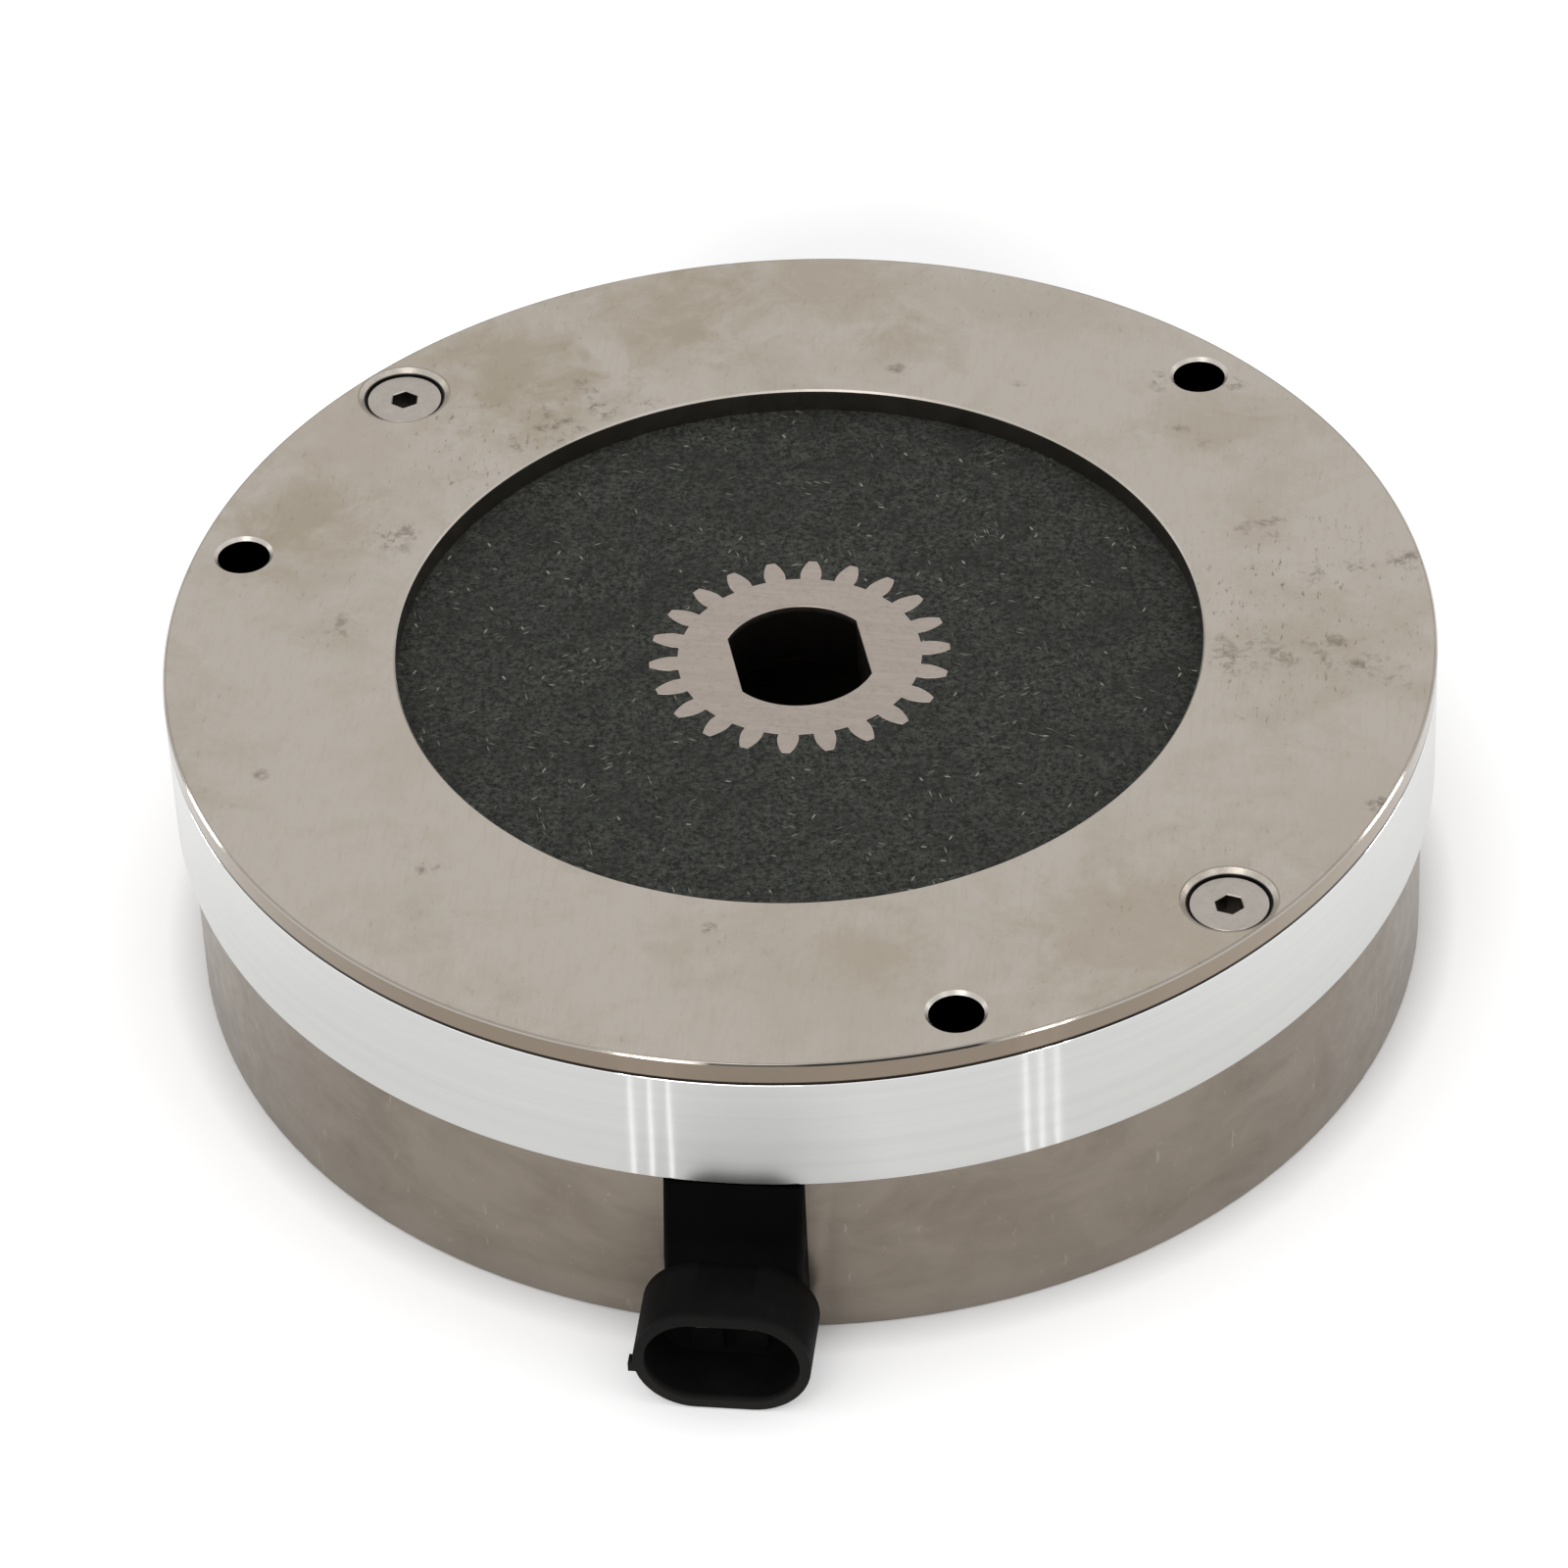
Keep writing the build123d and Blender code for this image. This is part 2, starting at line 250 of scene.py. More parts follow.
class BrakeColours(bpy.types.PropertyGroup):
    """Colours of the materials"""

    nickel: colour("Plate nickel", "Satin nickel of the flange plate", (0.481, 0.438, 0.386))
    nickel_tan: colour("Plate tan", "Olive tan patches in the plate's nickel", (0.36, 0.308, 0.234))
    nickel_rosy: colour("Plate rosy", "Reddish patches in the plate's nickel", (0.43, 0.37, 0.315))
    plate_side: colour("Plate side", "Duller turned side of the flange plate", (0.25, 0.205, 0.16))
    bare_edge: colour("Bare edge", "Bright bare metal at the plate's edges", (0.56, 0.525, 0.48))
    smudge: colour("Smudge", "Dark marks on the plate", (0.125, 0.1, 0.073))
    # Painted shade: the near black painted into holes, sockets, the bore, the seam under the plate, and
    # painted dark reflections along the plate's chamfer
    shade: colour("Shade", "Dark insides of holes and gaps", (0.004, 0.0038, 0.0035))
    aluminium: colour("Ring aluminium", "Turned aluminium of the spacer ring", (0.6, 0.6, 0.588))
    aluminium_dull: colour("Ring dull", "Duller lines in the ring's aluminium", (0.555, 0.556, 0.546))
    # Painted highlight: a near-white line along the ring's upper edge
    ring_painted_highlight: colour("Ring edge", "Bright upper edge of the ring", (0.92, 0.92, 0.91))
    body_nickel: colour("Body nickel", "Brownish nickel of the magnet body", (0.258, 0.222, 0.184))
    body_dark: colour("Body dark", "Darker clouds in the body's nickel", (0.2, 0.168, 0.136))
    body_pale: colour("Body pale", "Scratches and pale marks on the body", (0.46, 0.42, 0.37))
    lining: colour("Lining", "Friction lining's resin", (0.0075, 0.0081, 0.0066))
    lining_pale: colour("Lining pale", "Pale grains in the lining", (0.078, 0.081, 0.0695))
    lining_cloud: colour("Lining cloud", "Soft clouds over the lining's grain", (0.0175, 0.0186, 0.0158))
    fibre: colour("Fibre", "Pale fibres in the lining", (0.26, 0.255, 0.22))
    hub: colour("Hub", "Fine machined metal of the toothed hub", (0.432, 0.374, 0.33))
    hub_dull: colour("Hub dull", "Duller streaks in the hub's face", (0.355, 0.312, 0.278))
    moulding: colour("Moulding", "Black connector moulding", (0.0006, 0.0006, 0.0007))
    # Painted light and shade: the shroud is painted this paler grey while the neck keeps the darker black
    shroud_painted_light: colour("Moulding grey", "Dusty outside of the shroud", (0.0085, 0.0084, 0.0082))
    # Paler colour at the shroud's rim, strongest at its lower side
    moulding_rim: colour("Moulding rim", "Rubbed rim of the connector's shroud", (0.023, 0.0222, 0.0212))
    steel: colour("Screw steel", "Plated steel of screws and pins", (0.43, 0.392, 0.355))
    ground_steel: colour("Ground steel", "Armature plate and springs", (0.4, 0.4, 0.4))
    copper: colour("Copper", "Enamelled winding wire", (0.62, 0.28, 0.14))
    resin: colour("Resin", "Cast resin over the winding", (0.03, 0.03, 0.032))
    tin: colour("Tin", "Dull tinned terminals", (0.16, 0.155, 0.145))
    floor: colour("Floor", "Pale floor under the brake", (0.88, 0.88, 0.88))
    floor_pale: colour("Floor pale", "Paler mottle in the floor", (0.9, 0.9, 0.9))
    # Painted shadow: the dark disc on the floor under the brake
    floor_painted_shadow: colour("Floor under", "Floor right under the brake", (0.03, 0.03, 0.03))


class BrakeStage(bpy.types.PropertyGroup):
    """Camera's lens, size of the floor and strength of the lights"""

    lens: FloatProperty(
        name="Lens", description="Focal length of the camera", default=171.944, subtype="DISTANCE_CAMERA"
    )
    floor_size: length("Floor size", "Half the floor's side", 3000.0)
    sky: strength("Sky", "Strength of the even light all round", 0.95)
    white_lift: strength("White lift", "How much whiter the floor is shown than it is lit", 0.42)
    mirrored_lift: strength("Mirrored lift", "The same where the floor is seen in metal", 0.21)
    lamp_power: strength("Lamp power", "Power of the lamp over the camera", 0.9)
    side_power: strength("Side power", "Power of the lamp on either side", 0.25)
    tube_power: strength("Tube power", "Power of each tube in front", 0.025)
    strip_power: strength("Strip power", "Power of each thin strip on the floor", 0.00003)


class Finish:
    """A node material that is being put together on object coordinates."""

    def __init__(self, name, base, metallic=0.0, roughness=0.5):
        self.material = bpy.data.materials.new(name)
        self.material.use_nodes = True
        self.tree = self.material.node_tree
        self.tree.nodes.clear()
        self.shader = self.add("ShaderNodeBsdfPrincipled")
        self.shader.inputs["Metallic"].default_value = metallic
        self.shader.inputs["Roughness"].default_value = roughness
        self.shader.inputs["Base Color"].default_value = base
        output = self.add("ShaderNodeOutputMaterial")
        self.link(self.shader.outputs["BSDF"], output.inputs["Surface"])
        self.place = self.add("ShaderNodeTexCoord").outputs["Object"]

    def add(self, kind, **settings):
        node = self.tree.nodes.new(kind)
        for key, value in settings.items():
            setattr(node, key, value)
        return node

    def link(self, source, target):
        self.tree.links.new(source, target)

    def feed(self, socket, value):
        """Link a socket to another node's output, or set its value."""
        if isinstance(value, bpy.types.NodeSocket):
            self.link(value, socket)
        else:
            socket.default_value = value

    def mapped(self, scale=(1, 1, 1), turn=0.0, shift=(0, 0, 0)):
        """Object coordinates turned about Z, then stretched and shifted."""
        turned = self.add("ShaderNodeMapping")
        self.link(self.place, turned.inputs["Vector"])
        turned.inputs["Rotation"].default_value = (0.0, 0.0, turn)
        node = self.add("ShaderNodeMapping")
        self.link(turned.outputs["Vector"], node.inputs["Vector"])
        node.inputs["Location"].default_value = shift
        node.inputs["Scale"].default_value = scale
        return node.outputs["Vector"]

    def noise(self, scale, detail=3.0, roughness=0.5, distortion=0.0, vector=None):
        node = self.add("ShaderNodeTexNoise")
        self.link(vector or self.place, node.inputs["Vector"])
        node.inputs["Scale"].default_value = scale
        node.inputs["Detail"].default_value = detail
        node.inputs["Roughness"].default_value = roughness
        node.inputs["Distortion"].default_value = distortion
        return node.outputs["Fac"]

    def cells(self, vector):
        """Distance to the nearest of many scattered points."""
        node = self.add("ShaderNodeTexVoronoi")
        self.link(vector, node.inputs["Vector"])
        node.inputs["Scale"].default_value = 1.0
        return node.outputs["Distance"]

    def span(self, value, low, high, to_low=0.0, to_high=1.0):
        """Value carried over from one range to another and held at its ends."""
        node = self.add("ShaderNodeMapRange", clamp=True)
        self.link(value, node.inputs["Value"])
        node.inputs["From Min"].default_value = low
        node.inputs["From Max"].default_value = high
        node.inputs["To Min"].default_value = to_low
        node.inputs["To Max"].default_value = to_high
        return node.outputs["Result"]

    def calculate(self, operation, first, second=0.0):
        node = self.add("ShaderNodeMath", operation=operation)
        self.feed(node.inputs[0], first)
        self.feed(node.inputs[1], second)
        return node.outputs["Value"]

    def times(self, first, second):
        return self.calculate("MULTIPLY", first, second)

    def either(self, first, second):
        return self.calculate("MAXIMUM", first, second)

    def any_of(self, masks):
        """The largest of several masks."""
        return functools.reduce(self.either, masks)

    def mix(self, share, first, second):
        """Mix of two colours, which this node takes at its sockets 6 and 7."""
        node = self.add("ShaderNodeMix", data_type="RGBA")
        self.feed(node.inputs[0], share)
        self.feed(node.inputs[6], first)
        self.feed(node.inputs[7], second)
        return node.outputs[2]

    def mix_value(self, share, first, second):
        """Mix of two values, which this node takes at its sockets 2 and 3."""
        node = self.add("ShaderNodeMix", data_type="FLOAT")
        self.feed(node.inputs[0], share)
        self.feed(node.inputs[2], first)
        self.feed(node.inputs[3], second)
        return node.outputs[0]

    def near(self, centre, radius, ragged=None):
        """1 at a point on the object and 0 past a radius, with an uneven edge where a noise is given."""
        node = self.add("ShaderNodeVectorMath", operation="DISTANCE")
        self.link(self.place, node.inputs[0])
        node.inputs[1].default_value = centre
        reach = node.outputs["Value"]
        if ragged is not None:
            reach = self.calculate("ADD", reach, self.span(ragged, 0.3, 0.7, -radius * 0.6, radius * 0.6))
        return self.span(reach, radius, radius * 0.2)

    def along(self, axis):
        """Place on the object along X, Y or Z."""
        node = self.add("ShaderNodeSeparateXYZ")
        self.link(self.place, node.inputs[0])
        return node.outputs[axis]

    def about(self, spot, inner, outer):
        """1 within a radius of an upright axis and 0 past a wider one."""
        node = self.add("ShaderNodeVectorMath", operation="DISTANCE")
        self.link(self.mapped(scale=(1, 1, 0)), node.inputs[0])
        node.inputs[1].default_value = (spot[0], spot[1], 0.0)
        return self.span(node.outputs["Value"], outer, inner)

    def from_axis(self):
        """Distance from the shaft axis."""
        flat = self.mapped(scale=(1, 1, 0))
        node = self.add("ShaderNodeVectorMath", operation="LENGTH")
        self.link(flat, node.inputs[0])
        return node.outputs["Value"]

    def rings(self, scale):
        """Noise that only depends on the distance from the shaft axis, as turning leaves it."""
        node = self.add("ShaderNodeTexNoise", noise_dimensions="1D")
        self.link(self.from_axis(), node.inputs["W"])
        node.inputs["Scale"].default_value = scale
        node.inputs["Detail"].default_value = 2.0
        return node.outputs["Fac"]

    def colour_is(self, value):
        self.feed(self.shader.inputs["Base Color"], value)

    def roughness_is(self, value):
        self.feed(self.shader.inputs["Roughness"], value)

    def bump(self, height, distance, amount):
        node = self.add("ShaderNodeBump")
        self.link(height, node.inputs["Height"])
        node.inputs["Distance"].default_value = distance
        node.inputs["Strength"].default_value = amount
        self.link(node.outputs["Normal"], self.shader.inputs["Normal"])


def sizes():
    return bpy.context.scene.brake_sizes


def colours():
    return bpy.context.scene.brake_colours


def polar(radius, turn):
    return (radius * math.cos(turn), radius * math.sin(turn))


def round_places(count, first):
    """Places on the hole circle, evenly spread from a first angle on."""
    step = 2 * math.pi / count
    return [polar(sizes().hole_circle, first + step * n) for n in range(count)]


def bolt_places():
    return round_places(sizes().bolt_count, sizes().bolt_angle)


def screw_places():
    return round_places(sizes().screw_count, sizes().screw_angle)


def circle(bm, radius, height, centre, steps, turn):
    """Edges of a flat circle at a height."""
    spot = Matrix.Translation((centre[0], centre[1], height)) @ Matrix.Rotation(turn, 4, "Z")
    made = bmesh.ops.create_circle(bm, radius=radius, segments=steps, matrix=spot)
    return list({edge for vert in made["verts"] for edge in vert.link_edges})


def wall(bm, stations, centre=(0.0, 0.0), steps=FINE_STEPS, turn=0.0):
    """Bridge circles of (radius, height) into a wall and give its first and last loops."""
    loops = [circle(bm, radius, height, centre, steps, turn) for radius, height in stations]
    for lower, upper in zip(loops, loops[1:]):
        bmesh.ops.bridge_loops(bm, edges=lower + upper)
    return loops[0], loops[-1]


def close(bm, loops):
    """Fill flat loops, with the inner ones left as holes."""
    edges = [edge for loop in loops for edge in loop]
    bmesh.ops.triangle_fill(bm, edges=edges, use_beauty=True, use_dissolve=False)


def piece(bm, name, body, finish, replaced, sharp=12.0):
    """Make a finished bmesh an object that rides on a body and stands for CAD nodes."""
    bmesh.ops.recalc_face_normals(bm, faces=bm.faces)
    mesh = bpy.data.meshes.new(name)
    bm.to_mesh(mesh)
    bm.free()
    mesh.shade_smooth()
    mesh.set_sharp_from_angle(angle=math.radians(sharp))
    mesh.materials.append(finish)
    made = bpy.data.objects.new(name, mesh)
    bpy.context.scene.collection.objects.link(made)
    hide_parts(*replaced)
    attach(made, body)


def cad_copy(node, joined=True):
    """Merged copy of a CAD node's mesh, with its flat faces joined where asked."""
    bm = bmesh.new()
    bm.from_mesh(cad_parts[node].data)
    bmesh.ops.remove_doubles(bm, verts=bm.verts, dist=2 * MICRON)
    if joined:
        bmesh.ops.dissolve_limit(bm, angle_limit=math.radians(0.3), verts=bm.verts, edges=bm.edges)
    return bm


def soften(bm, edges, offset, segments, clamp_overlap=False):
    """Round edges over, and stop if there are none."""
    if not edges:
        raise RuntimeError("no edges were found to round over")
    bmesh.ops.bevel(
        bm,
        geom=edges,
        offset=offset,
        offset_type="OFFSET",
        affect="EDGES",
        segments=segments,
        profile=0.5,
        material=-1,
        clamp_overlap=clamp_overlap,
    )


def dress(finish, *nodes):
    """Give CAD nodes a material."""
    for node in nodes:
        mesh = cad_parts[node].data
        mesh.materials.clear()
        mesh.materials.append(finish)


def plate_stains(f, ragged, mottle):
    """Nickel with tan and rosy tones and patches."""
    c = colours()
    hairs = f.noise(1.0, detail=3.0, roughness=0.7, vector=f.mapped(scale=(1700.0, 260.0, 0.0)))
    shade = f.mix(f.span(mottle, 0.48, 0.72, 0.0, 0.55), c.nickel, c.nickel_tan)
    shade = f.mix(f.span(hairs, 0.5, 0.72, 0.0, 0.5), shade, c.nickel_rosy)
    tones = {"tan": c.nickel_tan, "rosy": c.nickel_rosy}
    for x, y, reach, share, tone in PLATE_PATCHES:
        patch = f.near((x, y, PLATE_HIGH), reach, ragged)
        shade = f.mix(f.times(patch, share), shade, tones[tone])
    return shade


def plate_marks(f, shade, fine, ragged, mottle):
    """Dark marks in places and fine specks in dusty zones of the plate's face."""
    c = colours()
    top = PLATE_HIGH
    face = f.span(f.along("Z"), top - 200 * MICRON, top - 100 * MICRON)
    marks = f.span(f.noise(620.0, detail=5.0, roughness=0.72, distortion=0.3), 0.47, 0.6)
    zone = f.any_of([f.near((x, y, top), reach, fine) for x, y, reach in PLATE_MARKS])
    shade = f.mix(f.times(f.times(marks, zone), f.times(face, 0.6)), shade, c.smudge)
    streaked = f.mapped(scale=(1900.0, 560.0, 0.0))
    specks = f.span(f.noise(1.0, detail=3.0, roughness=0.7, vector=streaked), 0.6, 0.68)
    dusty = f.any_of(
        [
            f.near((-0.0350, 0.0275, top), 0.014, ragged),
            f.near((0.0480, 0.0080, top), 0.02, ragged),
            f.span(mottle, 0.45, 0.7, 0.08, 0.45),
        ]
    )
    return f.mix(f.times(f.times(specks, dusty), f.times(face, 0.7)), shade, c.smudge)


def plate_lips(f, shade):
    """Bare metal at the edges of bore and holes, with a thin dark line round each countersink."""
    c = colours()
    bore = sizes().plate_bore
    mouth = sizes().bolt_hole + sizes().bolt_mouth
    sink = sizes().countersink
    turned = f.span(f.noise(2600.0, detail=2.0), 0.35, 0.65, 0.15, 0.6)
    lips = [f.times(f.span(f.from_axis(), bore + 200 * MICRON, bore + 160 * MICRON), 0.4)]
    lines = []
    for spot in bolt_places():
        lips.append(f.about(spot, mouth - 20 * MICRON, mouth + 30 * MICRON))
    for spot in screw_places():
        lips.append(f.times(f.about(spot, sink - 25 * MICRON, sink + 35 * MICRON), turned))
        disc = f.about(spot, sink + 115 * MICRON, sink + 215 * MICRON)
        middle = f.about(spot, sink - 25 * MICRON, sink + 75 * MICRON)
        lines.append(f.times(disc, f.span(middle, 0.0, 1.0, 1.0, 0.0)))
    upper = f.span(f.along("Z"), PLATE_HIGH - 450 * MICRON, PLATE_HIGH - 400 * MICRON)
    shade = f.mix(f.times(f.any_of(lips), upper), shade, c.bare_edge)
    return f.mix(f.times(f.any_of(lines), 0.5), shade, c.smudge)


def plate_shade(f, side, slope):
    """Mask of painted shade in the seam under the plate, the bore's wall and the holes' insides, painted dark
    reflections along the chamfer's fold line and front, and painted shade with dirt round the screw heads.
    """
    top = PLATE_HIGH
    bore = sizes().plate_bore
    hole = sizes().bolt_hole
    sink = sizes().countersink
    height = f.along("Z")
    reach = f.from_axis()
    seam = f.times(side, f.span(height, PLATE_LOW + 420 * MICRON, PLATE_LOW + 300 * MICRON))
    fold = f.calculate("ABSOLUTE", f.calculate("SUBTRACT", reach, OUTER_RADIUS - 220 * MICRON))
    inside = f.span(reach, bore + 100 * MICRON, bore + 50 * MICRON)
    dark = [
        # Painted shade in the seam under the plate
        f.times(seam, 0.94),
        # Painted dark reflections: a line at the chamfer's top and the chamfer's front
        f.times(f.span(fold, 140 * MICRON, 90 * MICRON), 0.25),
        f.times(slope, f.times(f.about((0.0114, -0.062), 0.0125, 0.015), 0.93)),
        # Painted shade on the bore's wall
        f.times(inside, f.span(height, top - 160 * MICRON, top - 300 * MICRON, 0.0, 0.6)),
    ]
    # Painted shade with dirt in the gap round each screw head
    for spot in screw_places():
        low = f.span(height, top - 380 * MICRON, top - 500 * MICRON)
        dark.append(f.times(f.about(spot, sink - 225 * MICRON, sink - 75 * MICRON), low))
    # Painted shade inside the bolt holes
    for spot in bolt_places():
        low = f.span(height, top - 330 * MICRON, top - 400 * MICRON)
        dark.append(f.times(f.about(spot, hole + 150 * MICRON, hole + 350 * MICRON), low))
    return f.any_of(dark)


def plate_nickel():
    """Satin nickel with olive and reddish patches, dark marks, a dull side whose front is darkened as painted
    shade, and painted shade and dark reflections at the rim, seam and holes.
    """
    c = colours()
    f = Finish("plate_nickel", c.nickel, metallic=1.0, roughness=0.34)
    fine = f.noise(420.0, detail=3.0, roughness=0.6)
    ragged = f.noise(150.0, detail=5.0, roughness=0.65, distortion=0.5)
    mottle = f.noise(75.0, detail=6.0, roughness=0.7, distortion=0.4)
    shade = plate_stains(f, ragged, mottle)
    shade = plate_marks(f, shade, fine, ragged, mottle)
    shade = plate_lips(f, shade)
    side = f.span(f.from_axis(), OUTER_RADIUS - 200 * MICRON, OUTER_RADIUS - 140 * MICRON)
    # The side takes the duller tone fully toward the front and at 0.6 elsewhere; the extra darkness at the
    # front is painted shade
    front = f.span(f.near((0.0, -OUTER_RADIUS, PLATE_HIGH), 0.08), 0.0, 0.8, 0.6, 1.0)
    shade = f.mix(f.times(side, front), shade, c.plate_side)
    slope = f.times(side, f.span(f.along("Z"), PLATE_HIGH - 220 * MICRON, PLATE_HIGH - 190 * MICRON))
    shade = f.mix(f.times(slope, 0.75), shade, c.bare_edge)
    f.colour_is(f.mix(plate_shade(f, side, slope), shade, c.shade))
    polish = f.mix_value(side, f.span(fine, 0.3, 0.7, 0.3, 0.38), 0.16)
    f.roughness_is(f.mix_value(slope, polish, 0.09))
    f.bump(f.rings(4200.0), 20 * MICRON, 0.2)
    return f.material


def turned_aluminium():
    """Bright aluminium whose fine turning marks stretch each reflection upright, with painted shade in its
    holes and a painted highlight on its upper edge.
    """
    c = colours()
    f = Finish("turned_aluminium", c.aluminium, metallic=1.0, roughness=0.105)
    f.shader.inputs["Anisotropic"].default_value = 1.0
    f.shader.inputs["Anisotropic Rotation"].default_value = 0.25
    round_it = f.add("ShaderNodeTangent", direction_type="RADIAL", axis="Z")
    f.link(round_it.outputs["Tangent"], f.shader.inputs["Tangent"])
    band = f.noise(1.0, detail=4.0, roughness=0.6, vector=f.mapped(scale=(9.0, 9.0, 1600.0)))
    shade = f.mix(f.span(band, 0.4, 0.7, 0.0, 0.6), c.aluminium, c.aluminium_dull)
    # Painted shade inside the bolt and screw holes
    hole = sizes().bolt_hole
    holes = bolt_places() + screw_places()
    dark = f.any_of([f.about(spot, hole + 150 * MICRON, hole + 350 * MICRON) for spot in holes])
    # Painted highlight along the ring's upper edge
    edge = f.span(f.along("Z"), RING_HIGH - 150 * MICRON, RING_HIGH - 100 * MICRON)
    shade = f.mix(edge, shade, c.ring_painted_highlight)
    f.colour_is(f.mix(dark, shade, c.shade))
    return f.material


def body_nickel():
    """Brownish satin nickel with soft clouds, small scratches and a paler foot."""
    c = colours()
    f = Finish("body_nickel", c.body_nickel, metallic=1.0, roughness=0.34)
    flattened = f.mapped(scale=(70.0, 70.0, 130.0))
    clouds = f.noise(1.0, detail=6.0, roughness=0.65, distortion=0.5, vector=flattened)
    fine = f.noise(600.0, detail=3.0, roughness=0.6)
    shade = f.mix(f.span(clouds, 0.42, 0.68), c.body_nickel, c.body_dark)
    shade = f.mix(f.span(f.along("Z"), 0.0045, 0.0005, 0.0, 0.28), shade, c.body_pale)
    upright = f.mapped(scale=(900.0, 900.0, 210.0))
    hairs = f.noise(1.0, detail=3.0, roughness=0.7, distortion=0.3, vector=upright)
    shade = f.mix(f.times(f.span(hairs, 0.66, 0.72), 0.35), shade, c.body_pale)
    specks = f.span(f.noise(1300.0, detail=2.0, roughness=0.6), 0.7, 0.76)
    shade = f.mix(f.times(specks, 0.3), shade, c.body_pale)
    f.colour_is(shade)
    f.roughness_is(f.span(fine, 0.3, 0.7, 0.3, 0.4))
    f.bump(f.noise(1.0, detail=2.0, vector=f.mapped(scale=(30.0, 30.0, 7000.0))), 20 * MICRON, 0.3)
    return f.material


def lining_resin():
    """Dark pressed lining with a grey-green grain, dark pores and short pale fibres."""
    c = colours()
    f = Finish("lining_resin", c.lining, roughness=0.85)
    f.shader.inputs["Specular IOR Level"].default_value = 0.2
    grain = f.noise(1900.0, detail=5.0, roughness=0.85)
    mottle = f.noise(150.0, detail=7.0, roughness=0.75, distortion=0.5)
    shade = f.mix(f.span(grain, 0.4, 0.67), c.lining, c.lining_pale)
    shade = f.mix(f.span(mottle, 0.44, 0.66, 0.0, 0.65), shade, c.lining_cloud)
    fibres = []
    for turn, shift, across, along in LINING_FIBRES:
        gathered = f.noise(160.0, detail=1.0, vector=f.mapped(shift=(shift, 0.0, 0.0)))
        fine = f.mapped(scale=(across, along, 0.0), turn=turn, shift=(shift, shift, 0.0))
        hairs = f.span(f.cells(fine), 0.18, 0.08)
        fibres.append(f.times(hairs, f.span(gathered, 0.57, 0.68, 0.0, 0.9)))
        stretch = (across * 0.5, along * 0.25, 0.0)
        coarse = f.mapped(scale=stretch, turn=turn + 0.7, shift=(shift + 2.0, shift, 0.0))
        fibres.append(f.span(f.cells(coarse), 0.065, 0.045))
    shade = f.mix(f.times(f.any_of(fibres), f.span(mottle, 0.35, 0.65, 0.6, 1.0)), shade, c.fibre)
    f.colour_is(shade)
    f.bump(grain, 100 * MICRON, 0.35)
    return f.material


def machined_hub():
    """Pale metal with fine straight grinding lines, and painted shade down the bore's wall."""
    c = colours()
    f = Finish("machined_hub", c.hub, metallic=1.0, roughness=0.36)
    along = f.mapped(scale=(260.0, 3600.0, 260.0), turn=0.06)
    lines = f.noise(1.0, detail=3.0, roughness=0.6, vector=along)
    wide = f.noise(1.0, detail=2.0, vector=f.mapped(scale=(110.0, 900.0, 110.0), turn=0.06))
    shade = f.mix(f.span(lines, 0.35, 0.7, 0.0, 0.6), c.hub, c.hub_dull)
    shade = f.mix(f.span(wide, 0.4, 0.7, 0.0, 0.5), shade, c.hub_dull)
    grain = f.noise(1500.0, detail=4.0, roughness=0.7)
    shade = f.mix(f.span(grain, 0.5, 0.75, 0.0, 0.4), shade, c.plate_side)
    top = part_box("toothed_hub")[1].z
    # Painted shade on the bore's wall below the top
    inside = f.span(f.from_axis(), 0.0086, 0.0084)
    low = f.span(f.along("Z"), top - 200 * MICRON, top - 800 * MICRON, 0.0, 0.75)
    f.colour_is(f.mix(f.times(inside, low), shade, c.shade))
    f.bump(lines, 20 * MICRON, 0.4)
    return f.material


def black_moulding():
    """Matte black moulding with a fine grain, a shroud painted paler than the neck as painted light and
    shade, and a paler rim.
    """
    c = colours()
    f = Finish("black_moulding", c.moulding, roughness=0.6)
    f.shader.inputs["Specular IOR Level"].default_value = 0.035
    grain = f.noise(2600.0, detail=3.0, roughness=0.6)
    cloud = f.noise(260.0, detail=4.0, roughness=0.6)
    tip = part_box("connector_housing")[0].y
    rim = f.span(f.along("Y"), tip + 900 * MICRON, tip + 200 * MICRON)
    outer = f.span(f.along("Z"), 0.0001, 0.012)
    # The shroud is painted paler than the neck, which keeps the darker black: painted light and shade
    shroud = f.span(f.along("Y"), tip + 0.0085, tip + 0.0065, 0.0, 0.8)
    tone = f.mix(f.times(shroud, f.span(cloud, 0.3, 0.7, 0.6, 1.0)), c.moulding, c.shroud_painted_light)
    # The rim is made paler, most at its lower side
    shade = f.mix(f.times(rim, f.span(outer, 0.0, 1.0, 0.9, 0.25)), tone, c.moulding_rim)
    f.colour_is(shade)
    f.roughness_is(f.span(cloud, 0.3, 0.7, 0.5, 0.66))
    f.bump(grain, 50 * MICRON, 0.25)
    return f.material


def toned(base, factor):
    """Colour made darker or paler by a factor."""
    return (*(channel * factor for channel in base[:3]), 1.0)


def plain_metal(name, base, roughness):
    """Metal with small changes of tone and polish."""
    f = Finish(name, base, metallic=1.0, roughness=roughness)
    cloud = f.noise(700.0, detail=3.0, roughness=0.6)
    f.colour_is(f.mix(f.span(cloud, 0.35, 0.7), base, toned(base, 0.75)))
    f.roughness_is(f.span(cloud, 0.3, 0.7, roughness - 0.05, roughness + 0.06))
    return f.material


